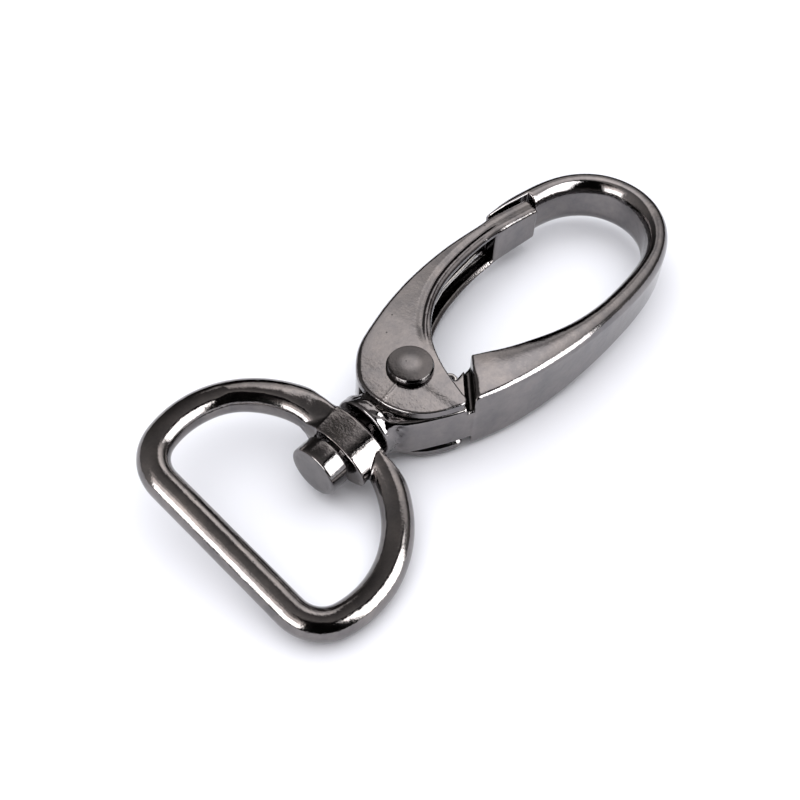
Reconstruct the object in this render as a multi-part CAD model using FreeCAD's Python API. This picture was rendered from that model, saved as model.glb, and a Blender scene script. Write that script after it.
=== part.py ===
import FreeCAD
import Part
import math
import os

# Swivel snap hook with a D-ring for 25 mm webbing.
# Millimetres.  The origin is the middle of the straight strap bar, on the swivel axis.
# +X runs along the swivel axis to the tip of the hook, +Y is the gate side, Z is up.

os.makedirs("parts", exist_ok=True)
V = FreeCAD.Vector

# ---- driving dimensions ----
WIRE_R = 1.9            # radius of the ring's wire
HUB_X = 20.4            # strap bar to the crown of the ring
RING_RX = 13.64         # semi-axes of the ring's elliptical back
RING_RY = 14.8
RING_CORNER = 4.6       # centreline radius of the two corners beside the bar
RING_TILT = 12.7        # degrees the ring lies swivelled, low side on the table

HUB_IN = HUB_X - 3.9    # end faces of the swivel boss in the ring
HUB_OUT = HUB_X + 0.25
HUB_HALF_W = 4.9
HUB_HALF_H = 2.75
SHANK_R = 1.6
SHANK_HOLE_R = 1.67

HEAD_X = HUB_X - 7.25   # outer face of the swivel stud's head
HEAD_R = 3.23
HEAD_LEN = 2.75
STUD_END_X = HUB_X + 4.6

COLLAR_X = HUB_X + 1.0  # collar of the hook body that faces the boss
COLLAR_LEN = 1.7
COLLAR_R = 4.0

PIVOT_X = 29.6          # gate rivet
PIN_R = 1.75
PIN_HOLE_R = 1.81
RIVET_HEAD_R = 2.86
RIVET_FACE_Z = 5.15

PLATE_Z = 2.9           # half thickness of the hinge plate
CHEEK_IN_Z = 3.02       # inner and outer faces of the gate's two cheeks
CHEEK_OUT_Z = 4.3
GATE_TIP_Z = 2.85       # half thickness of the gate at its tip
TIP_END_X = HUB_X + 42.5
STEP_X = HUB_X + 43.25  # shoulder of the nose that the gate's tip faces
TAPER_X = HUB_X + 14.0  # the gate thins from here to its tip

POCKET_Z = 1.75         # half height of the spring pocket in the hinge plate
POCKET_R = 3.3
SPRING_WIRE_R = 0.35
COIL_R = 2.45
COIL_TURNS = 3
LEG_RISE = 20.0         # degrees from the swivel axis to the spring's long leg


def at(x, y, z=0.0):
    """A point given from the ring's crown, so x is counted from HUB_X."""
    return V(HUB_X + x, y, z)


def spline(points):
    curve = Part.BSplineCurve()
    curve.interpolate(points)
    return curve.toShape()


def prism(edges, z_low, z_high):
    wire = Part.Wire(Part.__sortEdges__(edges))
    flat = wire.translated(V(0, 0, z_low))
    return Part.Face(flat).extrude(V(0, 0, z_high - z_low))


def polygon_edges(points):
    return [Part.makeLine(a, b) for a, b in zip(points, points[1:])]


def turned(profile):
    """A solid turned about the swivel axis from (x, radius) pairs."""
    points = [V(x, r, 0) for x, r in profile]
    face = Part.Face(Part.makePolygon(points + [points[0]]))
    return face.revolve(V(0, 0, 0), V(1, 0, 0), 360)


def wedge(half_start, half_end, y_low, y_high):
    """A block that is even up to TAPER_X, then thins evenly towards the gate's tip."""
    side = [
        V(HUB_X - 5, y_low, -half_start),
        V(TAPER_X, y_low, -half_start),
        V(TIP_END_X, y_low, -half_end),
        V(TIP_END_X, y_low, half_end),
        V(TAPER_X, y_low, half_start),
        V(HUB_X - 5, y_low, half_start),
    ]
    face = Part.Face(Part.makePolygon(side + [side[0]]))
    return face.extrude(V(0, y_high - y_low, 0))


# ---- D-ring ----
def ring_path():
    centre_x = HUB_X - RING_RX
    ellipse = Part.Ellipse(V(centre_x, RING_RY, 0), V(HUB_X, 0, 0), V(centre_x, 0, 0))
    angle = math.pi / 2
    # The corner's centre sits one corner radius inside the ellipse and off the bar.
    for step in range(60):
        nx = math.cos(angle) / RING_RX
        ny = math.sin(angle) / RING_RY
        size = math.hypot(nx, ny)
        px = centre_x + RING_RX * math.cos(angle)
        cx = px - RING_CORNER * nx / size
        slope = RING_RX * math.sin(angle)
        angle = angle + 0.5 * (cx - RING_CORNER) / slope
    py = RING_RY * math.sin(angle)
    cy = py - RING_CORNER * ny / size
    start = math.atan2(ny, nx)
    middle = (start + math.pi) / 2
    corner = []
    for side in (1, -1):
        arc = Part.Arc(
            V(px, side * py, 0),
            V(cx + RING_CORNER * math.cos(middle),
              side * (cy + RING_CORNER * math.sin(middle)), 0),
            V(0, side * cy, 0),
        )
        corner.append(arc.toShape())
    first = ellipse.parameter(V(px, -py, 0))
    last = ellipse.parameter(V(px, py, 0))
    back = Part.ArcOfEllipse(ellipse, min(first, last), max(first, last)).toShape()
    if back.BoundBox.XMax < HUB_X - 0.1:
        back = Part.ArcOfEllipse(ellipse, max(first, last), min(first, last) + 2 * math.pi)
        back = back.toShape()
    return back, corner, cy


def make_ring():
    back, corner, bar_half = ring_path()
    pieces = []
    for edge in [back] + corner:
        start = edge.valueAt(edge.FirstParameter)
        along = edge.tangentAt(edge.FirstParameter)
        section = Part.Wire([Part.makeCircle(WIRE_R, start, along)])
        pieces.append(Part.Wire([edge]).makePipeShell([section], True, True))
    bar = Part.makeCylinder(WIRE_R, 2 * bar_half, V(0, -bar_half, 0), V(0, 1, 0))
    ring = pieces[0].fuse(pieces[1:] + [bar])
    boss = Part.Ellipse(V(HUB_IN, HUB_HALF_W, 0), V(HUB_IN, 0, HUB_HALF_H), V(HUB_IN, 0, 0))
    boss_face = Part.Face(Part.Wire([boss.toShape()]))
    block = boss_face.extrude(V(HUB_OUT - HUB_IN, 0, 0))
    block = block.makeFillet(0.3, [e for e in block.Edges if e.isClosed()])
    hole = Part.makeCylinder(SHANK_HOLE_R, 12, V(HUB_X - 8, 0, 0), V(1, 0, 0))
    trim = Part.makeBox(6, 9.0, 8, V(HUB_OUT, -4.5, -4))
    ring = ring.cut(trim).fuse(block).cut(hole).removeSplitter()
    ring.rotate(V(0, 0, 0), V(1, 0, 0), RING_TILT)
    return ring


# ---- swivel stud ----
def make_stud():
    back = HEAD_X + HEAD_LEN
    profile = [
        (HEAD_X, 0),
        (HEAD_X, HEAD_R - 0.25),
        (HEAD_X + 0.07, HEAD_R - 0.07),
        (HEAD_X + 0.25, HEAD_R),
        (back - 0.35, HEAD_R),
        (back - 0.1, HEAD_R - 0.12),
        (back, HEAD_R - 0.4),
        (back, SHANK_R + 0.5),
        (back + 0.25, SHANK_R),
        (STUD_END_X, SHANK_R),
        (STUD_END_X, 0),
    ]
    return turned(profile)


# ---- hook body ----
# Stations round the hook: outer wall x, y, inner wall x, y, then the half heights of the
# outer wall, the crown and the inner wall.
STATIONS = [
    (10.7, -8.75, 15.65, -4.0, 4.0, 4.6, 4.0),
    (14.9, -10.25, 18.6, -5.7, 4.0, 4.7, 3.9),
    (20.3, -11.55, 22.9, -7.5, 3.85, 4.6, 3.6),
    (27.0, -12.45, 28.2, -9.0, 3.4, 4.3, 3.1),
    (34.5, -12.65, 34.2, -9.6, 3.15, 4.0, 2.7),
    (41.8, -12.1, 40.6, -9.25, 3.0, 3.75, 2.4),
    (48.4, -10.2, 46.7, -7.9, 2.9, 3.6, 2.25),
    (53.2, -6.4, 50.6, -4.95, 2.85, 3.5, 2.2),
    (55.15, -0.9, 52.2, -0.8, 2.85, 3.5, 2.2),
    (53.7, 4.6, 51.1, 3.3, 2.85, 3.5, 2.2),
    (49.3, 8.5, 47.6, 6.2, 2.85, 3.5, 2.25),
    (43.8, 10.2, 42.8, 7.4, 2.85, 3.5, 2.4),
    (39.6, 10.7, 39.1, 7.9, 2.9, 3.5, 2.55),
    (36.4, 10.6, 36.1, 8.2, 2.9, 3.35, 2.7),
]
CREST = 0.42            # where the crown's ridge lies, as a share of the width


def section(station):
    ox, oy, ix, iy, z_out, z_top, z_in = station
    outer = at(ox, oy)
    inner = at(ix, iy)
    across = inner - outer

    def point(share, z):
        p = outer + across * share
        return V(p.x, p.y, z)

    def crown(sign):
        rise = z_top - z_out
        fall = z_top - z_in
        first = Part.BezierCurve()
        first.setPoles([
            point(0, sign * z_out),
            point(0, sign * (z_out + 0.75 * rise)),
            point(0.3 * CREST, sign * z_top),
            point(CREST, sign * z_top),
        ])
        second = Part.BezierCurve()
        second.setPoles([
            point(CREST, sign * z_top),
            point(CREST + 0.32, sign * z_top),
            point(1, sign * (z_in + 0.55 * fall)),
            point(1, sign * z_in),
        ])
        return first.toShape(), second.toShape()

    top_a, top_b = crown(1)
    low_a, low_b = crown(-1)
    wall_out = Part.makeLine(point(0, -z_out), point(0, z_out))
    wall_in = Part.makeLine(point(1, z_in), point(1, -z_in))
    return Part.Wire(Part.__sortEdges__([wall_out, top_a, top_b, wall_in, low_b, low_a]))


def hinge_plate():
    pivot = V(PIVOT_X, 0, 0)

    def round_pivot(radius, degrees):
        a = math.radians(degrees)
        return pivot + V(radius * math.cos(a), radius * math.sin(a), 0)

    back = [at(2.0, 2.6), at(3.4, 2.1), round_pivot(5.05, 156)]
    shoulder = Part.Arc(back[-1], round_pivot(5.05, 110), round_pivot(5.05, 75)).toShape()
    front = Part.Arc(round_pivot(3.6, 30), round_pivot(3.6, -10), round_pivot(3.6, -52))
    outer = spline([
        at(2.0, -3.2),
        at(3.7, -4.8),
        at(5.2, -5.85),
        at(7.2, -7.05),
        at(9.0, -8.0),
        at(10.7, -8.75),
    ])
    edges = polygon_edges(back)
    edges.append(shoulder)
    edges.append(Part.makeLine(round_pivot(5.05, 75), round_pivot(3.6, 30)))
    edges.append(front.toShape())
    edges += polygon_edges([
        round_pivot(3.6, -52),
        at(12.5, -4.35),
        at(15.65, -4.0),
        at(16.6, -5.6),
        at(12.6, -8.9),
        at(10.7, -8.75),
    ])
    edges.append(outer)
    edges.append(Part.makeLine(at(2.0, -3.2), back[0]))
    return prism(edges, -PLATE_Z, PLATE_Z)


def make_body():
    hook = Part.makeLoft([section(s) for s in STATIONS], True, False)
    collar = turned([
        (COLLAR_X, 0),
        (COLLAR_X, COLLAR_R - 0.2),
        (COLLAR_X + 0.2, COLLAR_R),
        (COLLAR_X + COLLAR_LEN - 0.6, COLLAR_R),
        (COLLAR_X + COLLAR_LEN, COLLAR_R - 0.7),
        (COLLAR_X + COLLAR_LEN, 0),
    ])
    body = hook.fuse([hinge_plate(), collar])
    recess = prism(polygon_edges([
        V(STEP_X, 5.5, 0),
        V(STEP_X, 8.95, 0),
        at(39.5, 9.75),
        at(35.5, 10.35),
        at(30, 10.3),
        at(30, 5.5),
        V(STEP_X, 5.5, 0),
    ]), -6, 6)
    pocket = Part.makeCylinder(POCKET_R, 2 * POCKET_Z, V(PIVOT_X, 0, -POCKET_Z))
    mouth = prism(polygon_edges([
        V(PIVOT_X, -3.1, 0),
        V(PIVOT_X + 8, -3.9, 0),
        V(PIVOT_X + 8, 9, 0),
        V(PIVOT_X, 9, 0),
        V(PIVOT_X, -3.1, 0),
    ]), -POCKET_Z, POCKET_Z)
    pin = Part.makeCylinder(PIN_R, 20, V(PIVOT_X, 0, -10))
    socket = Part.makeCylinder(SHANK_R, STUD_END_X - HUB_X, V(HUB_X, 0, 0), V(1, 0, 0))
    return body.cut([recess, pocket, mouth, pin, socket]).removeSplitter()


# ---- gate lever ----
def gate_outline():
    corner = 0.55
    outer = spline([
        at(9.2, -8.05),
        at(7.0, -6.95),
        at(5.0, -5.4),
        at(3.75, -3.4),
        at(3.15, -1.2),
        at(3.1, 0.8),
        at(3.6, 3.0),
        at(5.2, 5.0),
        at(7.8, 6.85),
        at(10.8, 7.9),
        at(14.5, 8.9),
        at(18.4, 9.7),
        at(23.0, 10.25),
        at(28.0, 10.45),
        at(32.5, 10.25),
        at(36.0, 9.95),
    ])
    inner = spline([
        at(42.3, 6.5),
        at(38.6, 7.05),
        at(35.0, 7.45),
        at(31.0, 7.5),
        at(27.0, 7.15),
        at(23.0, 6.35),
        at(19.2, 4.8),
        at(16.2, 2.8),
        at(14.2, 0.8),
        at(12.5, -1.8),
        at(11.4, -4.4),
        at(10.5, -7.0),
    ])
    tip = polygon_edges([
        at(36.0, 9.95),
        V(TIP_END_X - 0.3, 8.85, 0),
        V(TIP_END_X, 8.5, 0),
        V(TIP_END_X, 6.8, 0),
        at(42.3, 6.5),
    ])
    point = Part.Arc(at(10.5, -7.0), at(10.25, -7.85), at(9.2, -8.05)).toShape()
    return [outer, inner, point] + tip


def channel():
    """The hollow of the lever: open towards the hook's eye and round the hinge plate."""
    wall = spline([
        V(PIVOT_X - 4.6, 2.55, 0),
        V(PIVOT_X - 3.6, 4.0, 0),
        V(PIVOT_X - 1.6, 5.1, 0),
        V(PIVOT_X + 1.5, 5.9, 0),
        at(15.0, 7.55),
        at(19.0, 8.5),
        at(24.0, 9.15),
        at(29.0, 9.3),
        at(35.2, 9.0),
    ])
    rest = polygon_edges([
        at(35.2, 9.0),
        at(35.2, 4.0),
        at(20.0, -12.0),
        at(-3.0, -12.0),
        at(-3.0, 3.9),
        V(PIVOT_X - 4.6, 2.55, 0),
    ])
    hollow = prism([wall] + rest, -5, 5)
    return hollow.common(wedge(CHEEK_IN_Z, GATE_TIP_Z - 0.95, -13, 13))


def make_gate():
    solid = prism(gate_outline(), -6, 6).common(wedge(CHEEK_OUT_Z, GATE_TIP_Z, -13, 13))
    gate = solid.cut(channel())
    pin = Part.makeCylinder(PIN_HOLE_R, 20, V(PIVOT_X, 0, -10))
    return gate.cut(pin).removeSplitter()


# ---- gate rivet ----
def make_rivet():
    face = RIVET_FACE_Z
    under = CHEEK_OUT_Z + 0.05
    arc = Part.Arc(V(0, 0, face), V(1.3, 0, face - 0.04), V(2.5, 0, face - 0.16)).toShape()
    rim = Part.Arc(V(2.5, 0, face - 0.16), V(2.76, 0, face - 0.26),
                   V(RIVET_HEAD_R, 0, face - 0.45)).toShape()
    rest = polygon_edges([
        V(RIVET_HEAD_R, 0, face - 0.45),
        V(RIVET_HEAD_R, 0, under),
        V(PIN_R, 0, under),
        V(PIN_R, 0, 0),
        V(0, 0, 0),
        V(0, 0, face),
    ])
    half = Part.Face(Part.Wire(Part.__sortEdges__([arc, rim] + rest)))
    top = half.revolve(V(0, 0, 0), V(0, 0, 1), 360)
    bottom = top.mirror(V(0, 0, 0), V(0, 0, 1))
    rivet = top.fuse(bottom).removeSplitter()
    rivet.translate(V(PIVOT_X, 0, 0))
    return rivet


# ---- gate spring ----
def rod(start, end):
    along = end - start
    return Part.makeCylinder(SPRING_WIRE_R, along.Length, start, along)


def ball(centre):
    return Part.makeSphere(SPRING_WIRE_R, centre)


def make_spring():
    pitch = 2 * SPRING_WIRE_R + 0.08
    leave = math.radians(90 + LEG_RISE)
    turns = COIL_TURNS + (270 - math.degrees(leave)) / 360
    height = pitch * turns
    low_z = -height / 2
    high_z = height / 2
    path = Part.makeHelix(pitch, height, COIL_R, 0, True)
    path.rotate(V(0, 0, 0), V(0, 0, 1), -90)
    path.translate(V(PIVOT_X, 0, low_z))
    first = path.Edges[0]
    foot = first.valueAt(first.FirstParameter)
    along = first.tangentAt(first.FirstParameter)
    circle = Part.Wire([Part.makeCircle(SPRING_WIRE_R, foot, along)])
    coil = Part.Wire(path).makePipeShell([circle], True, True)
    # The long leg lies along the lever's hollow and bends to follow it.
    head = V(PIVOT_X + COIL_R * math.cos(leave), COIL_R * math.sin(leave), high_z)
    knee = at(24.3, head.y + (24.3 + HUB_X - head.x) * math.tan(math.radians(LEG_RISE)), 0.9)
    toe = at(31.6, knee.y + 0.5, 0.7)
    # The short leg runs to the shoulder of the hook and ends in a small curl.
    bend = at(14.5, -2.75, low_z)
    curl_r = 0.75
    mid = V(bend.x + curl_r, bend.y + curl_r, low_z)
    last = V(bend.x, bend.y + 2 * curl_r, low_z)
    curl_edge = Part.Arc(bend, mid, last).toShape()
    curl_ring = Part.Wire([Part.makeCircle(SPRING_WIRE_R, bend, V(1, 0, 0))])
    curl = Part.Wire([curl_edge]).makePipeShell([curl_ring], True, True)
    pieces = [ball(foot), ball(head), ball(knee), ball(toe), ball(bend), ball(last)]
    pieces += [rod(head, knee), rod(knee, toe), rod(foot, bend), curl]
    return coil.fuse(pieces).removeSplitter()


def export(name, shape):
    print(name, shape.isValid(), shape.ShapeType, len(shape.Solids), len(shape.Faces),
          round(shape.Volume, 1))
    shape.exportStep("parts/" + name + ".step")


export("d_ring", make_ring())
export("swivel_stud", make_stud())
export("hook_body", make_body())
export("gate_lever", make_gate())
export("pivot_rivet", make_rivet())
export("gate_spring", make_spring())
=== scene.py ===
import bpy
import math
import numpy as np
import openvdb
from mathutils import Matrix, Vector


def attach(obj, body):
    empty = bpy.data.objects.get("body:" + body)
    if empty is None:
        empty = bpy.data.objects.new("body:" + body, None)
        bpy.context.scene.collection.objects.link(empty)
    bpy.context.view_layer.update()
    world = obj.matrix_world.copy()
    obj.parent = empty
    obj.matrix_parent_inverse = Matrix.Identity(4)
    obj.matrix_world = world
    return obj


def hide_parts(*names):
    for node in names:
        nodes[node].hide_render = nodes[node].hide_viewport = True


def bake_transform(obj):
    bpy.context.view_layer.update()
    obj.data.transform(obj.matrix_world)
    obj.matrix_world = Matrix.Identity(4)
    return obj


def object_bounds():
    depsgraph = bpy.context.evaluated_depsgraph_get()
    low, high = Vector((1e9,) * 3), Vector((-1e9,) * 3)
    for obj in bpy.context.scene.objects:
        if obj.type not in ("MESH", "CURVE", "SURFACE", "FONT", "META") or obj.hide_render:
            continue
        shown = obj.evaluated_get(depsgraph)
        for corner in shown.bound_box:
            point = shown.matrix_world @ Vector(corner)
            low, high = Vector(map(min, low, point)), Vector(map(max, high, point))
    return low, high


# Looks of the swivel snap hook: plated castings, studio floor, lights and camera.
# The shapes are worked out in millimetres, in the frame of the CAD model.

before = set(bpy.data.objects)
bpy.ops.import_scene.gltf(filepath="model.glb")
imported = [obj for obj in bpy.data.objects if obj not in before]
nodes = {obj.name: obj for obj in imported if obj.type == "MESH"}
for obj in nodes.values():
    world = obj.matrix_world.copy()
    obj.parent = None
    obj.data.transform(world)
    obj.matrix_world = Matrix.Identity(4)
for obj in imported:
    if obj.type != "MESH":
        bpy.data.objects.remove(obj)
cad_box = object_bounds()
MM = 0.001

# ---- studio ----
CAMERA_PLACE = (-0.03617, -0.05325, 0.10816)
CAMERA_AZIMUTH = -50.34         # degrees, 0 looks along +Y
CAMERA_ELEVATION = 52.5
CAMERA_ROLL = 2.99
LENS_MM = 51.49                 # on a 36 mm sensor
FLOOR_Z = cad_box[0].z
FLOOR_HALF = 3.0                # metres
TARGET = Vector((0.036, -0.002, 0.0))
CEILING_Z = 80.0                # height of the lit ceiling, in mm
CEILING_TURN = 9.0              # degrees that its length is turned from +X towards -Y
CEILING_ALONG = (20.0, 210.0)   # its reach from the target along its length and across, in mm
CEILING_ACROSS = (-124.0, 130.0)
CEILING_STEP = 2.0
WARM = (1.0, 0.93, 0.9)
WHITE = (1.0, 1.0, 1.0)
# Softboxes: name, azimuth, elevation, distance, shift, size, spin, radiance and colour.
SOFTBOXES = (
    ("right_softbox", -62, 26, 160, (-21.7, 7.6), (113, 149.5), -7, 10.0, WHITE),
    ("left_softbox", 178, 28, 130, (12, -28), (95, 46), 0, 10.0, WHITE),
    ("left_fade", 178, 28, 131, (8, 14), (105, 40), 0, 2.5, WARM),
    ("left_fade_high", 178, 28, 131, (4, 50), (115, 34), 0, 0.6, WARM),
)


def make_camera():
    azimuth = math.radians(CAMERA_AZIMUTH)
    elevation = math.radians(CAMERA_ELEVATION)
    roll = math.radians(CAMERA_ROLL)
    back = Vector((
        math.sin(azimuth) * math.cos(elevation),
        -math.cos(azimuth) * math.cos(elevation),
        math.sin(elevation),
    ))
    level = Vector((math.cos(azimuth), math.sin(azimuth), 0))
    rise = back.cross(level)
    right = math.cos(roll) * level + math.sin(roll) * rise
    up = math.cos(roll) * rise - math.sin(roll) * level
    data = bpy.data.cameras.new("camera")
    data.lens = LENS_MM
    data.sensor_width = 36
    data.clip_start = 0.005
    data.clip_end = 50
    camera = bpy.data.objects.new("camera", data)
    bpy.context.collection.objects.link(camera)
    turn = Matrix((right, up, back)).transposed().to_4x4()
    camera.matrix_world = Matrix.Translation(CAMERA_PLACE) @ turn
    bpy.context.scene.camera = camera


def direction(azimuth, elevation):
    """Azimuth counts from +X towards +Y, in degrees."""
    a = math.radians(azimuth)
    e = math.radians(elevation)
    return Vector((math.cos(a) * math.cos(e), math.sin(a) * math.cos(e), math.sin(e)))


def aim(azimuth, elevation):
    """Toward the studio direction, and the two directions across it."""
    toward = direction(azimuth, elevation)
    side = Vector((0, 0, 1)).cross(toward).normalized()
    return toward, side, toward.cross(side)


def panel(name, azimuth, elevation, distance, shift, size, spin, radiance, colour):
    """A softbox in mm that faces the hook, moved sideways and up by shift and turned by spin."""
    toward, side, rise = aim(azimuth, elevation)
    data = bpy.data.lights.new(name, "AREA")
    data.shape = "RECTANGLE"
    data.size = size[0] * MM
    data.size_y = size[1] * MM
    data.energy = radiance * math.pi * data.size * data.size_y
    data.color = colour
    light = bpy.data.objects.new(name, data)
    bpy.context.collection.objects.link(light)
    middle = TARGET + (toward * distance + side * shift[0] + rise * shift[1]) * MM
    turn = Matrix((side, rise, toward)).transposed() @ Matrix.Rotation(math.radians(spin), 3, "Z")
    light.matrix_world = Matrix.Translation(middle) @ turn.to_4x4()
    light.visible_camera = False
    light.visible_diffuse = False
    return light


def shader(material, kind):
    return next(n for n in material.node_tree.nodes if n.type == kind)


def make_floor():
    mesh = bpy.data.meshes.new("floor")
    corners = [(a * FLOOR_HALF, b * FLOOR_HALF, FLOOR_Z) for a, b in ((-1, -1), (1, -1), (1, 1), (-1, 1))]
    mesh.from_pydata(corners, [], [(0, 1, 2, 3)])
    floor = bpy.data.objects.new("floor", mesh)
    bpy.context.collection.objects.link(floor)
    material = bpy.data.materials.new("pale_floor")
    material.use_nodes = True
    cover = shader(material, "BSDF_PRINCIPLED")
    cover.inputs["Base Color"].default_value = (0.84, 0.855, 0.91, 1)
    cover.inputs["Roughness"].default_value = 0.9
    cover.inputs["Specular IOR Level"].default_value = 0.1
    mesh.materials.append(material)


def make_world():
    world = bpy.data.worlds.new("studio")
    bpy.context.scene.world = world
    world.use_nodes = True
    back = world.node_tree.nodes["Background"]
    back.inputs["Color"].default_value = (1.0, 0.955, 0.94, 1)
    # The room is darker on the far side of the hook than behind the camera.
    where = world.node_tree.nodes.new("ShaderNodeTexCoord")
    slant = world.node_tree.nodes.new("ShaderNodeVectorMath")
    slant.operation = "DOT_PRODUCT"
    slant.inputs[1].default_value = (-0.33, -0.2, 0.0)
    level = world.node_tree.nodes.new("ShaderNodeMath")
    level.inputs[1].default_value = 0.36
    world.node_tree.links.new(where.outputs["Generated"], slant.inputs[0])
    world.node_tree.links.new(slant.outputs["Value"], level.inputs[0])
    world.node_tree.links.new(level.outputs[0], back.inputs["Strength"])


def black_card(azimuth, elevation, distance, size, shift=(0, 0), spin=0):
    """A dark sheet that gives the black bands beside the highlights."""
    toward, side, rise = aim(azimuth, elevation)
    middle = TARGET + (toward * distance + side * shift[0] + rise * shift[1]) * MM
    turn = Matrix.Rotation(math.radians(spin), 3, toward)
    side = turn @ side
    rise = turn @ rise
    corners = [
        middle + (side * a * size[0] + rise * b * size[1]) * MM / 2
        for a, b in ((-1, -1), (1, -1), (1, 1), (-1, 1))
    ]
    mesh = bpy.data.meshes.new("black_card")
    mesh.from_pydata(corners, [], [(0, 1, 2, 3)])
    card = bpy.data.objects.new("black_card", mesh)
    bpy.context.collection.objects.link(card)
    material = bpy.data.materials.new("black_card")
    material.use_nodes = True
    cover = shader(material, "BSDF_PRINCIPLED")
    cover.inputs["Base Color"].default_value = (0.002, 0.002, 0.002, 1)
    cover.inputs["Roughness"].default_value = 1.0
    cover.inputs["Specular IOR Level"].default_value = 0.0
    mesh.materials.append(material)
    card.visible_camera = False
    card.visible_shadow = False
    card.visible_diffuse = False


def graded_panel():
    """The lit ceiling over the hook: brightest in its middle, cut off sharply on the ring's side."""
    along, across = np.meshgrid(
        np.arange(*CEILING_ALONG, CEILING_STEP), np.arange(*CEILING_ACROSS, CEILING_STEP), indexing="ij"
    )
    rows, columns = along.shape
    core = 1.3 * np.exp(-((along - 50) / 36) ** 2 - ((across - 24) / 36) ** 2)
    glow = core + 1.25 * (1 - 0.6 * ease(along, 100, 190)) * (1 - 0.6 * ease(across, 92, 128))
    glow *= 1 - 0.5 * ease(along, 40, 92) * ease(across, 44, 62) * (1 - ease(across, 74, 90))
    glow *= (1 - 0.3 * ease(-across, 10, 90)) * ease(along, 20, 23) * ease(across + 0.6 * along, -3, 7)
    turn = math.radians(CEILING_TURN)
    x = TARGET.x / MM + along * math.cos(turn) + across * math.sin(turn)
    y = TARGET.y / MM - along * math.sin(turn) + across * math.cos(turn)
    points = np.stack([x, y, np.full_like(x, CEILING_Z)], axis=-1).reshape(-1, 3) * MM
    corner = (np.arange(rows - 1)[:, None] * columns + np.arange(columns - 1)).ravel()
    faces = np.stack([corner, corner + 1, corner + columns + 1, corner + columns], axis=1)
    # Faces that give no light would stand in front of the softboxes as black ones.
    faces = faces[glow.ravel()[faces].max(axis=1) > 0.01]
    mesh = bpy.data.meshes.new("graded_panel")
    mesh.from_pydata(points.tolist(), [], faces.tolist())
    mark = mesh.attributes.new("glow", "FLOAT", "POINT")
    mark.data.foreach_set("value", glow.ravel().astype(np.float32))
    sheet = bpy.data.objects.new("graded_panel", mesh)
    bpy.context.collection.objects.link(sheet)
    material = bpy.data.materials.new("graded_panel")
    material.use_nodes = True
    tree = material.node_tree
    cover = shader(material, "BSDF_PRINCIPLED")
    cover.inputs["Base Color"].default_value = (0, 0, 0, 1)
    cover.inputs["Specular IOR Level"].default_value = 0.0
    cover.inputs["Emission Color"].default_value = (1.0, 0.96, 0.95, 1)
    strength = tree.nodes.new("ShaderNodeAttribute")
    strength.attribute_name = "glow"
    tree.links.new(strength.outputs["Fac"], cover.inputs["Emission Strength"])
    mesh.materials.append(material)
    sheet.visible_camera = False
    sheet.visible_shadow = False
    sheet.visible_diffuse = False


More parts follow.
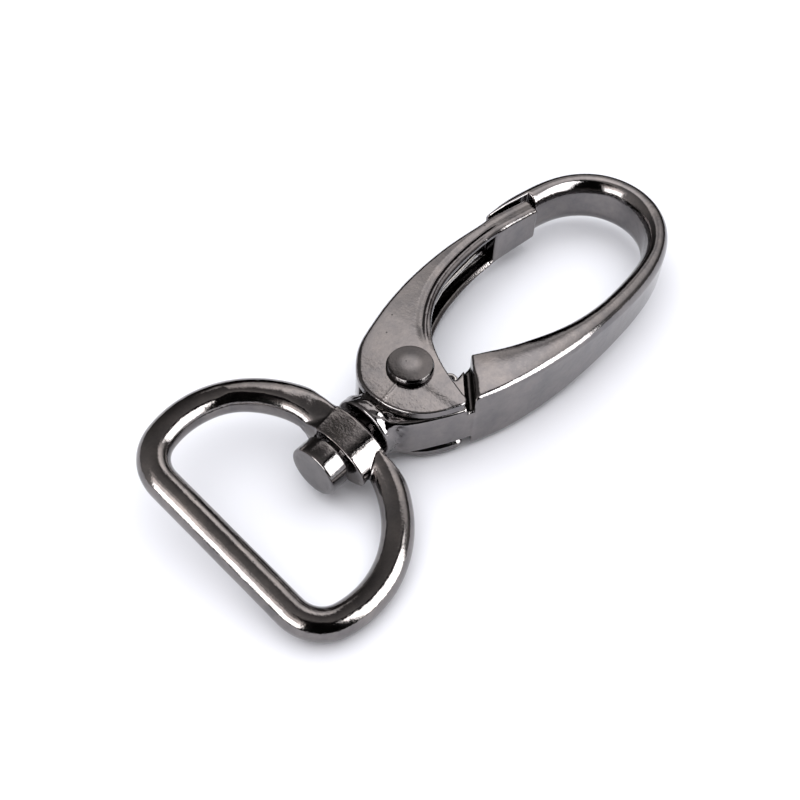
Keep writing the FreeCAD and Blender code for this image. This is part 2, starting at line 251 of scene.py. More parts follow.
def plated(name, colour, warm, dark, roughness, grain, pits, brushed=0.0):
    """Bright plating: patchy warmth, a fine orange peel, sparse pits, on wire, draw marks, and painted
    shade where the mesh marks it.

    grain and brushed are heights in micrometres, pits is the share of the surface that has them.
    """
    material = bpy.data.materials.new(name)
    material.use_nodes = True
    tree = material.node_tree
    cover = shader(material, "BSDF_PRINCIPLED")
    cover.inputs["Metallic"].default_value = 1.0

    def add(kind, values, links):
        made = tree.nodes.new(kind)
        for key, value in values.items():
            if isinstance(key, str) and hasattr(made, key):
                setattr(made, key, value)
            else:
                made.inputs[key].default_value = value
        for key, source in links.items():
            tree.links.new(source, made.inputs[key])
        return made

    where = tree.nodes.new("ShaderNodeTexCoord").outputs["Object"]
    blotch = add("ShaderNodeTexNoise", {"Scale": 260, "Detail": 7, "Roughness": 0.74}, {"Vector": where})
    peel = add("ShaderNodeTexNoise", {"Scale": 3600, "Detail": 3, "Roughness": 0.62}, {"Vector": where})
    swell = add("ShaderNodeTexNoise", {"Scale": 620, "Detail": 2, "Roughness": 0.5}, {"Vector": where})
    cells = add("ShaderNodeTexVoronoi", {"Scale": 1300}, {"Vector": where})
    pit = add(
        "ShaderNodeMapRange", {"From Min": 0.16, "From Max": 0.05}, {"Value": cells.outputs["Distance"]}
    )
    rare = add("ShaderNodeTexNoise", {"Scale": 800, "Detail": 1}, {"Vector": where})
    chosen = add(
        "ShaderNodeMapRange",
        {"From Min": 0.74 - pits, "From Max": 0.78 - pits},
        {"Value": rare.outputs["Fac"]},
    )
    pit = add("ShaderNodeMath", {"operation": "MULTIPLY"}, {0: pit.outputs[0], 1: chosen.outputs[0]})

    tint = add("ShaderNodeValToRGB", {}, {"Fac": blotch.outputs["Fac"]})
    tint.color_ramp.elements[0].position = 0.36
    tint.color_ramp.elements[0].color = (*colour, 1)
    tint.color_ramp.elements[1].position = 0.66
    tint.color_ramp.elements[1].color = (*warm, 1)
    # Painted shade: the mesh's painted_shade attribute darkens the colour towards dark in crevices and on
    # darkened faces.
    painted_shade = tree.nodes.new("ShaderNodeAttribute")
    painted_shade.attribute_name = "painted_shade"
    shade_amount = add(
        "ShaderNodeMapRange",
        {"From Min": 0.12, "From Max": 0.75, "To Max": 0.92},
        {"Value": painted_shade.outputs["Fac"]},
    )
    pits_and_shade = add("ShaderNodeMath", {"operation": "MAXIMUM"}, {0: pit.outputs[0], 1: shade_amount.outputs[0]})
    shade = add("ShaderNodeMix", {"data_type": "RGBA"}, {})
    tree.links.new(pits_and_shade.outputs[0], shade.inputs[0])
    tree.links.new(tint.outputs["Color"], shade.inputs[6])
    shade.inputs[7].default_value = (*dark, 1)
    tree.links.new(shade.outputs[2], cover.inputs["Base Color"])

    rough = add(
        "ShaderNodeMapRange",
        {"From Min": 0.3, "From Max": 0.7, "To Min": roughness * 0.7, "To Max": roughness * 1.6},
        {"Value": blotch.outputs["Fac"]},
    )
    tree.links.new(rough.outputs[0], cover.inputs["Roughness"])

    fine = add("ShaderNodeBump", {"Distance": grain * 1e-6}, {"Height": peel.outputs["Fac"]})
    slow = add(
        "ShaderNodeBump",
        {"Distance": grain * 1.9e-6},
        {"Height": swell.outputs["Fac"], "Normal": fine.outputs[0]},
    )
    hole = add(
        "ShaderNodeBump",
        {"Distance": 3e-5, "invert": True},
        {"Height": pit.outputs[0], "Normal": slow.outputs[0]},
    )
    last = hole
    if brushed:
        drawn = add("ShaderNodeMapping", {"Scale": (3200, 160, 3200)}, {"Vector": where})
        lines = add("ShaderNodeTexNoise", {"Scale": 1.0, "Detail": 2}, {"Vector": drawn.outputs[0]})
        split = add("ShaderNodeSeparateXYZ", {}, {"Vector": where})
        on_bar = add(
            "ShaderNodeMapRange", {"From Min": 0.0035, "From Max": 0.002}, {"Value": split.outputs["X"]}
        )
        marks = add(
            "ShaderNodeMath", {"operation": "MULTIPLY"}, {0: lines.outputs["Fac"], 1: on_bar.outputs[0]}
        )
        last = add(
            "ShaderNodeBump",
            {"Distance": brushed * 1e-6},
            {"Height": marks.outputs[0], "Normal": hole.outputs[0]},
        )
    tree.links.new(last.outputs[0], cover.inputs["Normal"])
    return material


# ---- solids as distance fields ----
# A field is negative inside a solid and grows by a millimetre for each millimetre outward.
# Fields give castings their rounded edges and fillets, and one call turns a field into a mesh.


SPACING = 0.3                   # between the samples of a curve


def curve(points):
    """A smooth curve through the points, and the point number that each sample stands at."""
    p = np.array(points, float)
    n = len(p)
    steps = np.hypot(*np.diff(p, axis=0).T)
    length = np.concatenate([[0], np.cumsum(steps)])
    system = np.eye(n)
    right = np.zeros_like(p)
    for i in range(1, n - 1):
        system[i, i - 1:i + 2] = (steps[i - 1], 2 * (steps[i - 1] + steps[i]), steps[i])
        right[i] = 6 * ((p[i + 1] - p[i]) / steps[i] - (p[i] - p[i - 1]) / steps[i - 1])
    bend = np.linalg.solve(system, right)
    place = np.linspace(0, length[-1], int(length[-1] / SPACING) + 2)
    k = np.clip(np.searchsorted(length, place, side="right") - 1, 0, n - 2)
    h = steps[k][:, None]
    t = ((place - length[k]) / steps[k])[:, None]
    s = 1 - t
    made = s * p[k] + t * p[k + 1] + ((s ** 3 - s) * bend[k] + (t ** 3 - t) * bend[k + 1]) * h * h / 6
    return made, k + t[:, 0]


def arc(centre, radius, start, end):
    count = int(abs(math.radians(end - start)) * radius / SPACING) + 2
    turn = np.radians(np.linspace(start, end, count))
    return np.column_stack([centre[0] + radius * np.cos(turn), centre[1] + radius * np.sin(turn)])


def closest(chain, x, y, closed=False):
    """Distance to a chain of points, and how far along the chain its nearest point lies."""
    best = np.full(np.broadcast(x, y).shape, 1e9)
    along = np.zeros_like(best)
    ends = np.roll(chain, -1, axis=0)
    for i in range(len(chain) if closed else len(chain) - 1):
        dx, dy = ends[i] - chain[i]
        rx = x - chain[i][0]
        ry = y - chain[i][1]
        t = np.clip((rx * dx + ry * dy) / (dx * dx + dy * dy + 1e-12), 0, 1)
        d = np.hypot(rx - t * dx, ry - t * dy)
        near = d < best
        best[near] = d[near]
        along[near] = (i + t)[near]
    return best, along


def outline(chain, x, y):
    """Signed distance to a closed outline in plan."""
    chain = np.asarray(chain, float)
    within = np.zeros(np.broadcast(x, y).shape, bool)
    for a, b in zip(chain, np.roll(chain, -1, axis=0)):
        if a[1] == b[1]:
            continue
        crosses = (a[1] > y) != (b[1] > y)
        within ^= crosses & (x < (b[0] - a[0]) * (y - a[1]) / (b[1] - a[1]) + a[0])
    distance, _ = closest(chain, x, y, closed=True)
    return np.where(within, -distance, distance)


# Painted shade darkens points in crevices, out to this reach.
REACH = 0.6                     # how far round a point counts as its crevice


def both(a, b, radius):
    """What lies in both solids, with their common edge rounded."""
    corner = np.hypot(np.maximum(a + radius, 0), np.maximum(b + radius, 0))
    return np.minimum(np.maximum(a, b), -radius) + corner


def joined(a, b, radius):
    """Two solids joined with a fillet in the corner between them."""
    return -both(-a, -b, radius)


def without(a, b, radius):
    return both(a, -b, radius)


def ease(value, start, end):
    t = np.clip((value - start) / (end - start), 0, 1)
    return t * t * (3 - 2 * t)


def waviness(x, y, z, size):
    """Slow unevenness of a cast surface, about size millimetres from crest to crest."""
    k = 2 * math.pi / size
    first = np.sin(k * x + 0.7) * np.sin(0.83 * k * y + 2.1) * np.cos(0.9 * k * z + 0.3)
    second = np.sin(1.71 * k * x + 1.3 * k * y + 4.0) * np.cos(1.37 * k * z - 0.6 * k * y)
    return 0.6 * first + 0.4 * second


def new_piece(name, vertices, faces, material, node, painted_shade=None):
    mesh = bpy.data.meshes.new(name)
    mesh.from_pydata((np.asarray(vertices) * MM).tolist(), [], faces)
    # The painted shade goes on the mesh as an attribute that the material reads.
    if painted_shade is not None:
        mark = mesh.attributes.new("painted_shade", "FLOAT", "POINT")
        mark.data.foreach_set("value", painted_shade.astype(np.float32))
    mesh.validate()
    mesh.shade_smooth()
    mesh.materials.append(material)
    piece = bpy.data.objects.new(name, mesh)
    bpy.context.collection.objects.link(piece)
    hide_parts(node)
    return piece


def sample(values, places):
    """A field and its slopes between the nodes of its grid, by cubic interpolation."""
    places = np.clip(places, 1.001, np.array(values.shape) - 2.001)
    base = np.floor(places).astype(int)
    t = places - base
    one = np.ones_like(t)
    weight = 0.5 * np.stack([
        -t + 2 * t ** 2 - t ** 3,
        2 * one - 5 * t ** 2 + 3 * t ** 3,
        t + 4 * t ** 2 - 3 * t ** 3,
        -t ** 2 + t ** 3,
    ])
    slope = 0.5 * np.stack([
        -one + 4 * t - 3 * t ** 2,
        -10 * t + 9 * t ** 2,
        one + 8 * t - 9 * t ** 2,
        -2 * t + 3 * t ** 2,
    ])
    value = np.zeros(len(places))
    gradient = np.zeros((len(places), 3))
    for i in range(4):
        for j in range(4):
            for k in range(4):
                here = values[base[:, 0] + i - 1, base[:, 1] + j - 1, base[:, 2] + k - 1]
                wx, wy, wz = weight[i, :, 0], weight[j, :, 1], weight[k, :, 2]
                value += here * wx * wy * wz
                gradient[:, 0] += here * slope[i, :, 0] * wy * wz
                gradient[:, 1] += here * wx * slope[j, :, 1] * wz
                gradient[:, 2] += here * wx * wy * slope[k, :, 2]
    return value, gradient


def cast(low, high, step, field):
    """Vertices and quads of the surface where the field is zero, and how much painted shade each gets from
    how enclosed it is.
    """
    pad = REACH + 2 * step
    axes = [np.arange(a - pad, b + pad, step) for a, b in zip(low, high)]
    x = axes[0][:, None, None]
    y = axes[1][None, :, None]
    z = axes[2][None, None, :]
    values = field(x, y, z) / step
    volume = openvdb.FloatGrid(3.0)
    volume.copyFromArray(np.ascontiguousarray(np.clip(values, -3, 3), dtype=np.float32))
    points, quads = volume.convertToQuads(0.0)
    points = points.astype(float)
    for _ in range(2):
        value, gradient = sample(values, points)
        steep = np.maximum((gradient ** 2).sum(axis=1), 0.25)
        points = points - gradient * np.clip(value / steep, -0.5, 0.5)[:, None]
    _, gradient = sample(values, points)
    normal = gradient / np.maximum(np.linalg.norm(gradient, axis=1), 1e-9)[:, None]
    # Painted shade: points with solid close in front of them are marked to be darkened.
    free, _ = sample(values, points + normal * REACH / step)
    painted_shade = np.clip(1 - free * step / REACH, 0, 1)
    points = points * step + np.array([a[0] for a in axes])
    a, b, c = (points[quads[:, i]] for i in range(3))
    if np.einsum("ij,ij->i", a, np.cross(b, c)).sum() < 0:
        quads = quads[:, ::-1]
    return points, quads.tolist(), painted_shade


# ---- sizes shared with the CAD model, in mm ----
HUB_X = 20.4                    # crown of the ring, where the swivel is
PIVOT_X = 29.6
WIRE_R = 1.9
RING_RX = 13.64
RING_RY = 14.8
RING_CORNER = 4.6
RING_TILT = 12.7
BOSS_START = HUB_X - 3.9
BOSS_END = HUB_X + 0.25
BOSS_HALF = (4.9, 2.75)
SHANK_R = 1.6
SHANK_HOLE_R = 1.67
PIN_R = 1.75
PIN_HOLE_R = 1.81
PLATE_Z = 2.9
CHEEK_IN_Z = 3.02
CHEEK_OUT_Z = 4.3
GATE_TIP_Z = 2.85
TIP_END = 42.5                  # from HUB_X, as are the next three
TAPER = 14.0
CHANNEL_END = 34.8
END_WALL = (15.65, -4.0)
TIP_WALL = 0.95                 # over the hollow at the lever's tip
POCKET_R = 3.3                  # the spring's pocket
POCKET_Z = 1.75

# ---- detail that only shows, in mm ----
RING_STEP = 0.123               # spacing of the meshes
BODY_STEP = 0.16
GATE_STEP = 0.135
FLARE_Z = 1.7                   # half the height of the wire's flare beside the boss
FLARE_EDGE = 1.45
GROOVE = 0.75                   # depth of the groove at the foot of the arm's end wall
DISH = 0.2                      # the cheek beside the lever's inner edge
DISH_RISE = 0.17
BEAD = 0.05
EDGE_STEP = 0.11
PARTING_MARK = 0.07
LIP = 0.42                      # where the bevel on the lower cheek's lip starts
TIP_EDGE = 0.5                  # what the tip's inner edge is rounder by


def place(points):
    """Points counted from the ring's crown, moved to the part's frame."""
    return [(HUB_X + x, y) for x, y in points]


# ---- D-ring ----
def ring_line():
    """Centreline of the D: an elliptical back, two round corners and the straight strap bar."""
    middle = HUB_X - RING_RX
    angle = math.pi / 2
    for _ in range(60):
        normal = Vector((math.cos(angle) / RING_RX, math.sin(angle) / RING_RY)).normalized()
        px = middle + RING_RX * math.cos(angle)
        slope = RING_RX * math.sin(angle)
        angle += 0.5 * (px - RING_CORNER * normal.x - RING_CORNER) / slope
    cy = RING_RY * math.sin(angle) - RING_CORNER * normal.y
    turn = np.linspace(-angle, angle, 260)
    back = np.column_stack([middle + RING_RX * np.cos(turn), RING_RY * np.sin(turn)])
    start = math.degrees(math.atan2(normal.y, normal.x))
    upper = arc((RING_CORNER, cy), RING_CORNER, start, 180)[1:]
    lower = (upper * (1, -1))[::-1]
    return np.vstack([back, upper, lower])


def ellipse(a, b, half_a, half_b):
    """Near enough the distance to an elliptical bar."""
    near = np.hypot(a / half_a, b / half_b)
    return near * (near - 1) / np.maximum(np.hypot(a / half_a ** 2, b / half_b ** 2), 1e-9)


def ring_field(x, y, z):
    plan, _ = closest(ring_line(), x, y, closed=True)
    wire = np.hypot(plan, z) - WIRE_R + 0.012 * waviness(x, y, z, 7)
    # The wire widens on its inner side to meet the boss's corner.
    side, _ = curve([
        (16.4, 3.0), (16.45, 4.6), (16.3, 6.0), (15.85, 7.4),
        (15.15, 8.8), (14.2, 10.3), (12.9, 11.9), (11.2, 13.3),
    ])
    flare = outline(np.vstack([side, [(12.5, 13.9), (15.5, 11.8), (17.6, 9.4), (19.6, 3.0)]]), x, y)
    wire = joined(wire, both(flare, np.abs(z) - FLARE_Z, FLARE_EDGE), 1.1)
    wire = both(wire, x - BOSS_END, 0.7)
    half = (BOSS_END - BOSS_START) / 2
    ends = np.abs(x - BOSS_START - half) - half
    boss = both(ellipse(y, z, *BOSS_HALF), ends, 0.2)
    # A parting mark crosses the boss beside the higher wire.
    from_mark = y - 3.0 - 0.14 * (x - BOSS_START)
    boss = boss - 0.05 * np.exp(-(from_mark / 0.12) ** 2) + 0.06 * ease(from_mark, 0.0, 0.3)
    ring = joined(wire, boss, 0.22)
    # A second crease runs beside it, out on the wire.
    from_crease = y - 5.3 - 0.3 * (x - BOSS_START)
    near_boss = ease(x, BOSS_START - 1, BOSS_START + 0.3)
    fold = 0.05 * ease(-from_crease, -0.5, 0.0) * ease(from_crease, -1.6, -0.2)
    ridge = 0.02 * np.exp(-(from_crease / 0.15) ** 2)
    ring = ring + near_boss * (fold - ridge)
    flash = np.exp(-((np.abs(y) - 4.8) ** 2 + (x - BOSS_START) ** 2 + (z + 0.5) ** 2 * 0.2) / 0.2)
    ring = ring - 0.14 * flash * (0.6 + waviness(x, y, z, 0.9))
    hole = np.maximum(np.hypot(y, z) - SHANK_HOLE_R, HUB_X - 8 - x)
    return without(ring, hole, 0.12)


def make_ring(material):
    points, quads, painted_shade = cast((-2.2, -17, -3), (HUB_X + 2.2, 17, 3), RING_STEP, ring_field)
    tilt = math.radians(RING_TILT)
    y = points[:, 1] * math.cos(tilt) - points[:, 2] * math.sin(tilt)
    z = points[:, 1] * math.sin(tilt) + points[:, 2] * math.cos(tilt)
    points = np.column_stack([points[:, 0], y, z])
    ring = new_piece("ring_casting", points, quads, material, "d_ring", painted_shade)
    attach(ring, "ring")


# ---- hook body ----
# Stations round the hook, counted from HUB_X: outer wall x, y, inner wall x, y, height of the
# crown at the outer edge, along the crest and at the inner edge, and the two edges' radii.
STATIONS = (
    (10.7, -8.75, 15.65, -4.0, 4.45, 4.6, 4.35, 0.55, 0.22),
    (14.9, -10.25, 18.6, -5.7, 4.45, 4.7, 4.35, 0.56, 0.3),
    (20.3, -11.55, 22.9, -7.5, 4.2, 4.6, 4.1, 0.62, 0.5),
    (27.0, -12.45, 28.2, -9.0, 3.75, 4.3, 3.6, 0.74, 0.8),
    (34.5, -12.65, 34.2, -9.6, 3.35, 4.0, 3.1, 0.84, 0.95),
    (41.8, -12.1, 40.6, -9.25, 3.1, 3.75, 2.8, 0.88, 1.05),
    (48.4, -10.2, 46.7, -7.9, 2.9, 3.6, 2.6, 0.75, 1.1),
    (53.2, -6.4, 50.6, -4.95, 2.85, 3.5, 2.5, 0.75, 1.15),
    (55.15, -0.9, 52.2, -0.8, 2.85, 3.5, 2.5, 0.75, 1.15),
    (53.7, 4.6, 51.1, 3.3, 2.85, 3.5, 2.5, 0.75, 1.15),
    (49.3, 8.5, 47.6, 6.2, 2.85, 3.5, 2.55, 0.75, 1.1),
    (43.8, 10.2, 42.8, 7.4, 2.9, 3.5, 2.55, 0.7, 1.1),
    (39.6, 10.7, 39.1, 7.9, 3.0, 3.5, 2.6, 0.6, 1.1),
    (36.4, 10.6, 36.1, 8.2, 3.1, 3.35, 3.05, 0.5, 0.4),
)
CREST = 0.45                    # share of the arm's width, from the outer wall


def arm_field(x, y, z):
    table = np.array(STATIONS)
    outer, _ = curve(place(table[:, 0:2]))
    inner, _ = curve(place(table[:, 2:4]))
    middle, number = curve(place((table[:, 0:2] + table[:, 2:4]) / 2))
    plan = outline(np.vstack([outer, inner[::-1]]), x, y)
    to_outer, _ = closest(outer, x, y)
    to_inner, _ = closest(inner, x, y)
    _, along = closest(middle, x, y)
    station = np.interp(along, np.arange(len(number)), number)
    share = to_outer / (to_outer + to_inner + 1e-9)
    edge_out, crest, edge_in, r_out, r_in = (
        np.interp(station, np.arange(len(table)), column) for column in table[:, 4:9].T
    )
    fall_out = (crest - edge_out) * np.maximum(0, 1 - share / CREST) ** 2
    fall_in = (crest - edge_in) * np.maximum(0, (share - CREST) / (1 - CREST)) ** 2
    radius = r_out + (r_in - r_out) * ease(share, 0.3, 0.7)
    return both(plan, np.abs(z) - crest + fall_out + fall_in, radius)


def round_pivot(radius, start, end):
    return arc((PIVOT_X, 0), radius, start, end)


def plate_outline():
    edge, _ = curve(place([
        (10.7, -8.75), (9.0, -8.0), (7.2, -7.05), (5.2, -5.85), (3.7, -4.8), (2.0, -3.2),
    ]))
    return np.vstack([
        place([(2.0, 2.6), (3.4, 2.1)]),
        round_pivot(5.05, 156, 75),
        round_pivot(3.6, 30, -52),
        place([(12.5, -4.35), (15.65, -4.0), (16.6, -5.6), (12.6, -8.9)]),
        edge,
    ])


def to_end_wall(x, y):
    """How far in front of the arm's end wall a point lies."""
    wall_x, wall_y = END_WALL
    normal = (-4.75, 4.95)
    return ((x - HUB_X - wall_x) * normal[0] + (y - wall_y) * normal[1]) / math.hypot(*normal)


def body_field(x, y, z):
    arm = arm_field(x, y, z)
    high = np.abs(z)
    # A groove runs along the foot of the arm's end wall.
    from_wall = to_end_wall(x, y)
    groove = GROOVE * ease(-from_wall, -0.95, -0.65) * (z > 0)
    plate = both(outline(plate_outline(), x, y), high - PLATE_Z + groove, 0.46)
    across = np.hypot(y, z)
    collar = both(np.abs(x - HUB_X - 1.75) - 0.75, across - 4.0, 0.28)
    neck = both(np.abs(x - HUB_X - 3.0) - 1.6, across - 3.3, 0.3)
    body = joined(arm, plate, 0.18)
    body = joined(body, neck, 0.7)
    body = joined(body, collar, 0.55)
    rough = np.exp(-((x - HUB_X - 2.9) ** 2 + 0.25 * (across - 3.6) ** 2) / 1.1)
    body = body + 0.15 * rough * waviness(x, y, z, 1.7) + 0.012 * waviness(x, y, z, 8)
    # The nose is cut back where the lever's tip comes to rest.
    recess = outline(
        place([(43.25, 5.5), (43.25, 8.95), (39.5, 9.75), (35.5, 10.35), (30, 10.3), (30, 5.5)]), x, y
    )
    body = without(body, recess, 0.16)
    pocket = np.maximum(np.hypot(x - PIVOT_X, y) - POCKET_R, high - POCKET_Z)
    mouth = outline([(PIVOT_X, -3.1), (PIVOT_X + 8, -3.9), (PIVOT_X + 8, 9), (PIVOT_X, 9)], x, y)
    body = without(body, np.minimum(pocket, np.maximum(mouth, high - POCKET_Z)), 0.15)
    body = np.maximum(body, PIN_R - np.hypot(x - PIVOT_X, y))
    socket = np.maximum(across - SHANK_R, x - HUB_X - 4.6)
    return np.maximum(body, -socket)


def make_body(material):
    points, quads, painted_shade = cast((HUB_X + 1, -12.8, -4.8), (HUB_X + 55.3, 11, 4.8), BODY_STEP, body_field)
    # The pocket and the groove get painted shade.
    inside = (np.hypot(points[:, 0] - PIVOT_X, points[:, 1]) < POCKET_R + 0.1) | (points[:, 0] > PIVOT_X)
    shallow = np.abs(points[:, 2]) < POCKET_Z - 0.03
    left_of_arm = points[:, 1] > -4.6 + 0.25 * (points[:, 0] - PIVOT_X - 4)
    painted_shade = np.maximum(painted_shade, inside & shallow & left_of_arm & (points[:, 0] < PIVOT_X + 7.5))
    from_wall = to_end_wall(points[:, 0], points[:, 1])
    in_groove = (from_wall > -0.1) & (from_wall < 0.9) & (points[:, 2] > 2.0) & (points[:, 2] < 2.75)
    painted_shade = np.maximum(painted_shade, in_groove)
    body = new_piece("hook_casting", points, quads, material, "hook_body", painted_shade)
    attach(body, "hook")


# ---- gate lever ----
def gate_outline():
    """The lever in plan, and the edge along its inner side on its own."""
    outer, _ = curve(place([
        (9.2, -8.05), (7.0, -6.95), (5.0, -5.4), (3.75, -3.4), (3.15, -1.2), (3.1, 0.8), (3.6, 3.0),
        (5.2, 5.0), (7.8, 6.85), (10.8, 7.9), (14.5, 8.9), (18.4, 9.7), (23.0, 10.25), (28.0, 10.45),
        (32.5, 10.25), (36.0, 9.95),
    ]))
    inner, _ = curve(place([
        (42.3, 6.5), (38.6, 7.05), (35.0, 7.45), (31.0, 7.5), (27.0, 7.15), (23.0, 6.35),
        (19.2, 4.8), (16.2, 2.8), (14.2, 0.8), (12.5, -1.8), (11.4, -4.4), (10.5, -7.0),
    ]))
    tip = place([(42.2, 8.85), (42.5, 8.5), (42.5, 6.8)])
    point = place([(10.44, -7.45), (10.2, -7.87), (9.8, -8.07), (9.5, -8.11)])
    return np.vstack([outer, tip, inner, point]), inner


def channel_outline():
    """The lever's hollow in plan."""
    wall, _ = curve([
        (PIVOT_X - 4.6, 2.55), (PIVOT_X - 3.6, 4.0), (PIVOT_X - 1.6, 5.1), (PIVOT_X + 1.5, 5.9),
        *place([(15.0, 7.55), (19.0, 8.5), (24.0, 9.15), (29.0, 9.3), (CHANNEL_END, 9.05)]),
    ])
    return np.vstack([wall, place([(CHANNEL_END, 4.0), (20.0, -12.0), (-3.0, -12.0), (-3.0, 3.9)])])


def thinning(from_hub):
    """How far along its taper the lever is: 0 at the rivet's end and 1 at the tip."""
    return np.clip((from_hub - TAPER) / (TIP_END - TAPER), 0, 1)


def hollow_half(from_hub):
    """Half the height of the lever's hollow."""
    return CHEEK_IN_Z + (GATE_TIP_Z - TIP_WALL - CHEEK_IN_Z) * thinning(from_hub)


def gate_field(x, y, z):
    high = np.abs(z)
    from_hub = x - HUB_X
    half = CHEEK_OUT_Z + (GATE_TIP_Z - CHEEK_OUT_Z) * thinning(from_hub)
    hollow = hollow_half(from_hub)
    edge, inner = gate_outline()
    lever = outline(edge, x, y)
    # The cheek is dished beside the lever's inner edge, then rises to a fine bead and steps down.
    from_inner, _ = closest(inner, x, y)
    along = ease(from_hub, 12.6, 15.0)
    before_tip = 1 - ease(from_hub, 32, 35)
    dish = DISH * ease(-from_inner, -2.1, -1.25) * along * (1 - 0.5 * ease(from_hub, 30, 36))
    rise = DISH_RISE * ease(-from_inner, -1.2, -0.75) * along * (1 - ease(from_hub, 33, 37))
    bead = np.exp(-((from_inner - 0.7) / 0.09) ** 2) * along * before_tip
    step = ease(-from_inner, -0.6, -0.45) * along * before_tip
    half = half - dish + rise + BEAD * bead - EDGE_STEP * step
    # The casting's parting mark crosses the cheek beside the rivet.
    mark = (y + 1.2) * 6.2 - (from_hub - 3.0) * 1.2
    by_rivet = ease(x, PIVOT_X, PIVOT_X - 1.5)
    half = half - PARTING_MARK * ease(mark, 0.9, -0.9) * by_rivet
    half = half + PARTING_MARK * np.exp(-((mark - 0.8) / 0.8) ** 2) * by_rivet
    outer_side = ease(y + 0.25 * from_hub, 0.0, 5.5) * ease(y - 0.12 * from_hub, 0.0, 3.0)
    radius = 0.2 + 0.4 * outer_side * (1 - ease(from_hub, 33, 38))
    # The solid tip's inner edge is rounder.
    radius = radius + TIP_EDGE * ease(from_hub, 33.0, 36.0) * ease(-from_inner, -1.5, -0.8)
    lever = both(lever, high - half, radius) + 0.01 * waviness(x, y, z, 8)
    channel = np.maximum(outline(channel_outline(), x, y), high - hollow)
    lever = without(lever, channel, 0.34)
    # The lower cheek's inner lip is bevelled.
    lip = 0.707 * (outline(edge, x, y) + z + hollow + LIP) - 3 * ease(from_hub, 34.2, 35.0)
    lever = np.maximum(lever, np.where(z < -1.2, lip, -1.0))
    return np.maximum(lever, PIN_HOLE_R - np.hypot(x - PIVOT_X, y))


def make_gate(material):
    points, quads, painted_shade = cast((HUB_X + 3, -8.3, -4.4), (HUB_X + 42.6, 10.6, 4.4), GATE_STEP, gate_field)
    # The hollow gets painted shade.
    hollow = hollow_half(points[:, 0] - HUB_X)
    inside = outline(channel_outline(), points[:, 0], points[:, 1])
    deep = ease(np.maximum(inside, np.abs(points[:, 2]) - hollow), 0.1, -0.02)
    painted_shade = np.maximum(painted_shade, 0.8 * deep)
    gate = new_piece("gate_casting", points, quads, material, "gate_lever", painted_shade)
    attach(gate, "gate")


# ---- turned and wound parts ----
RIVET_HEAD_R = 2.86
RIVET_FACE_Z = 5.15
RIVET_DOME = 0.013              # fall of the head's face for each square millimetre of radius
HEAD_X = HUB_X - 7.25           # outer face of the stud's head
HEAD_R = 3.23
HEAD_LEN = 2.75
STUD_END_X = HUB_X + 4.6
COIL_R = 2.45
SPRING_WIRE_R = 0.35
COIL_TURNS = 3
LEG_RISE = 20.0                 # degrees from the swivel axis to the long leg


def rounded(corners, steps=6):
    """A profile of (along, radius, corner radius) with its corners turned into arcs."""
    p = np.array([c[:2] for c in corners], float)
    made = [p[0]]
    for i in range(1, len(p) - 1):
        back = p[i - 1] - p[i]
        ahead = p[i + 1] - p[i]
        back_long = np.hypot(*back)
        ahead_long = np.hypot(*ahead)
        back = back / back_long
        ahead = ahead / ahead_long
        half = math.acos(np.clip(back @ ahead, -1, 1)) / 2
        reach = min(corners[i][2] / max(math.tan(half), 1e-6), 0.49 * back_long, 0.49 * ahead_long)
        if reach < 1e-3:
            made.append(p[i])
            continue
        for t in np.linspace(0, 1, steps):
            s = 1 - t
            before = s * s * (p[i] + back * reach)
            after = t * t * (p[i] + ahead * reach)
            made.append(before + 2 * s * t * p[i] + after)
    return np.array(made + [p[-1]])


def turned(profile, count=128):
    """Vertices along X and faces of a profile turned about the X axis, with closed ends."""
    vertices = []
    faces = []
    turn = np.linspace(0, 2 * math.pi, count, endpoint=False)
    rings = profile[1:-1]
    for along, radius in rings:
        out = radius * (1 + 0.0035 * np.sin(3 * turn + 1.0) * min(1, radius / 2.5))
        vertices.append(np.column_stack([np.full(count, along), out * np.cos(turn), out * np.sin(turn)]))
    for k in range(len(rings) - 1):
        for i in range(count):
            j = (i + 1) % count
            faces.append((k * count + i, k * count + j, (k + 1) * count + j, (k + 1) * count + i))
    vertices = np.vstack(vertices + [[(profile[0][0], 0, 0)], [(profile[-1][0], 0, 0)]])
    first = len(vertices) - 2
    base = (len(rings) - 1) * count
    for i in range(count):
        j = (i + 1) % count
        faces.append((i, first, j))
        faces.append((base + i, base + j, first + 1))
    return vertices, faces


def make_stud(material):
    back = HEAD_X + HEAD_LEN
    face = [(HEAD_X, r, 0) for r in np.linspace(0, HEAD_R - 0.7, 8)]
    profile = rounded(face + [
        (HEAD_X + 0.02, HEAD_R - 0.05, 0.3),
        (HEAD_X + 0.5, HEAD_R, 0.3),
        (back - 0.02, HEAD_R, 0.35),
        (back, SHANK_R + 0.1, 0.1),
        (back + 0.3, SHANK_R, 0.2),
        (STUD_END_X, SHANK_R, 0.2),
        (STUD_END_X, 0, 0),
    ])
    vertices, faces = turned(profile)
    # Painted shade darkens the head's end face.
    painted_head_shade = 0.3 * (vertices[:, 0] < HEAD_X + 0.01)
    stud = new_piece("stud_turned", vertices, faces, material, "swivel_stud", painted_head_shade)
    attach(stud, "hook")


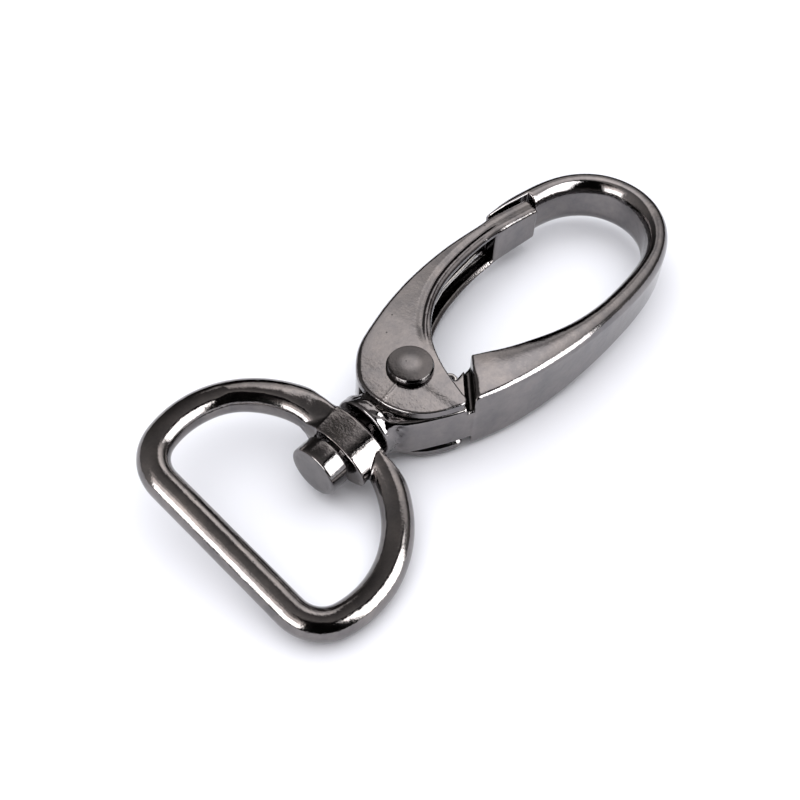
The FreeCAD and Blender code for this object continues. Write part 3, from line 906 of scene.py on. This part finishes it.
def make_rivet(material):
    top = RIVET_FACE_Z
    dome = [(top - RIVET_DOME * r * r, r, 0) for r in np.linspace(0, 2.4, 16)]
    side = [
        (top - RIVET_DOME * 2.66 ** 2, 2.66, 0.1),
        (top - 0.42, RIVET_HEAD_R - 0.02, 0.14),
        (CHEEK_OUT_Z + 0.06, RIVET_HEAD_R, 0.05),
        (CHEEK_OUT_Z + 0.05, PIN_R + 0.05, 0.02),
        (CHEEK_OUT_Z, PIN_R, 0.02),
    ]
    half = dome + side
    profile = rounded(half + [(-along, radius, corner) for along, radius, corner in half[::-1]])
    vertices, faces = turned(profile)
    vertices = np.column_stack([vertices[:, 1] + PIVOT_X, vertices[:, 2], vertices[:, 0]])
    out = np.hypot(vertices[:, 0] - PIVOT_X, vertices[:, 1])
    # Painted shade darkens the head towards its rim, and the rest of the rivet a little.
    painted_head_shade = 0.1 + 0.5 * ease(out, 0.5, 1.7) * (np.abs(vertices[:, 2]) > CHEEK_OUT_Z)
    rivet = new_piece("rivet_headed", vertices, faces, material, "pivot_rivet", painted_head_shade)
    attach(rivet, "hook")


def tube(path, radius, sides=20):
    """A round wire along a path, with rounded ends."""
    path = np.array(path, float)
    along = np.gradient(path, axis=0)
    along /= np.linalg.norm(along, axis=1)[:, None]
    across = np.cross(along[0], (0.3, 0.2, 1.0))
    turn = np.linspace(0, 2 * math.pi, sides, endpoint=False)
    vertices = []
    count = len(path)
    caps = [(-0.9, 0.44), (-0.6, 0.8), (-0.25, 0.97)]
    stops = [(0, shift, size) for shift, size in caps] + [(i, 0, 1) for i in range(count)]
    stops += [(count - 1, -shift, size) for shift, size in caps[::-1]]
    for i, shift, size in stops:
        across = across - along[i] * (across @ along[i])
        across /= np.linalg.norm(across)
        beside = np.cross(along[i], across)
        ring = np.outer(np.cos(turn), across) + np.outer(np.sin(turn), beside)
        vertices.append(path[i] + along[i] * shift * radius + ring * radius * size)
    faces = []
    rows = len(stops)
    for k in range(rows - 1):
        for i in range(sides):
            j = (i + 1) % sides
            faces.append((k * sides + i, k * sides + j, (k + 1) * sides + j, (k + 1) * sides + i))
    faces.append(tuple(range(sides))[::-1])
    faces.append(tuple((rows - 1) * sides + i for i in range(sides)))
    return np.vstack(vertices), faces


def soften(path, rounds):
    """Corners of a path cut again and again until they are bends."""
    path = np.array(path, float)
    for _ in range(rounds):
        first = 0.75 * path[:-1] + 0.25 * path[1:]
        second = 0.25 * path[:-1] + 0.75 * path[1:]
        inner = np.stack([first, second], axis=1).reshape(-1, 3)
        path = np.vstack([path[:1], inner[1:-1], path[-1:]])
    return path


def make_spring(material):
    pitch = 2 * SPRING_WIRE_R + 0.08
    turns = COIL_TURNS + (180 - LEG_RISE) / 360
    low = -pitch * turns / 2
    spin = np.radians(np.linspace(-90, -90 - 360 * turns, 190))
    coil = np.column_stack([
        PIVOT_X + COIL_R * np.cos(spin),
        COIL_R * np.sin(spin),
        np.linspace(low, -low, len(spin)),
    ])
    head = coil[-1]
    bend_x = HUB_X + 14.5
    turn = np.radians(np.linspace(90, -90, 14))
    curl = np.column_stack([bend_x + 0.75 * np.cos(turn), -2.0 + 0.75 * np.sin(turn), np.full(14, low)])
    knee = (HUB_X + 23.9, 7.46, 0.9)
    toe = (HUB_X + 31.2, 8.2, 0.9)
    short_leg = [curl[-1] + (coil[0] - curl[-1]) * t for t in (0.1, 0.5, 0.9)]
    long_leg = [head + (np.array(knee) - head) * t for t in (0.1, 0.3, 0.6, 0.9)]
    path = np.vstack([curl, short_leg, coil, long_leg, [knee, toe]])
    vertices, faces = tube(soften(path, 2), SPRING_WIRE_R)
    spring = new_piece("spring_wound", vertices, faces, material, "gate_spring")
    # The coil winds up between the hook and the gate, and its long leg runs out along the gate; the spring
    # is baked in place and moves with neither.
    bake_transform(spring)


make_camera()
make_floor()
make_world()
for softbox in SOFTBOXES:
    panel(*softbox)
graded_panel()
black_card(-125, 34, 230, (400, 300))
black_card(-62, 26, 161, (160, 46), (-9, 105), -7)
sky = panel("broad_light", 60, 72, 1200, (0, 0), (2600, 2400), 0, 2.0, WHITE)
sky.visible_diffuse = True
sky.visible_glossy = False
bpy.context.scene.view_settings.view_transform = "Standard"

# Pits take this colour, and so does the painted shade in crevices and on darkened faces.
DARK = (0.03, 0.028, 0.028)     # in pits and crevices
casting = plated("gunmetal_casting", (0.15, 0.145, 0.149), (0.22, 0.204, 0.199), DARK, 0.075, 15.0, 0.09)
wire_cast = plated("gunmetal_wire", (0.14, 0.134, 0.135), (0.225, 0.207, 0.2), DARK, 0.08, 14.0, 0.1, 9.0)
steel = plated("gunmetal_steel", (0.12, 0.116, 0.119), (0.2, 0.186, 0.182), DARK, 0.09, 14.0, 0.06)
spring_steel = plated(
    "spring_steel", (0.42, 0.41, 0.4), (0.5, 0.48, 0.46), (0.12, 0.1, 0.09), 0.2, 3.0, 0.03
)
for node in nodes.values():
    node.data.materials.clear()
    node.data.materials.append(casting)
make_ring(wire_cast)
make_body(casting)
make_gate(casting)
make_stud(steel)
make_rivet(steel)
make_spring(spring_steel)
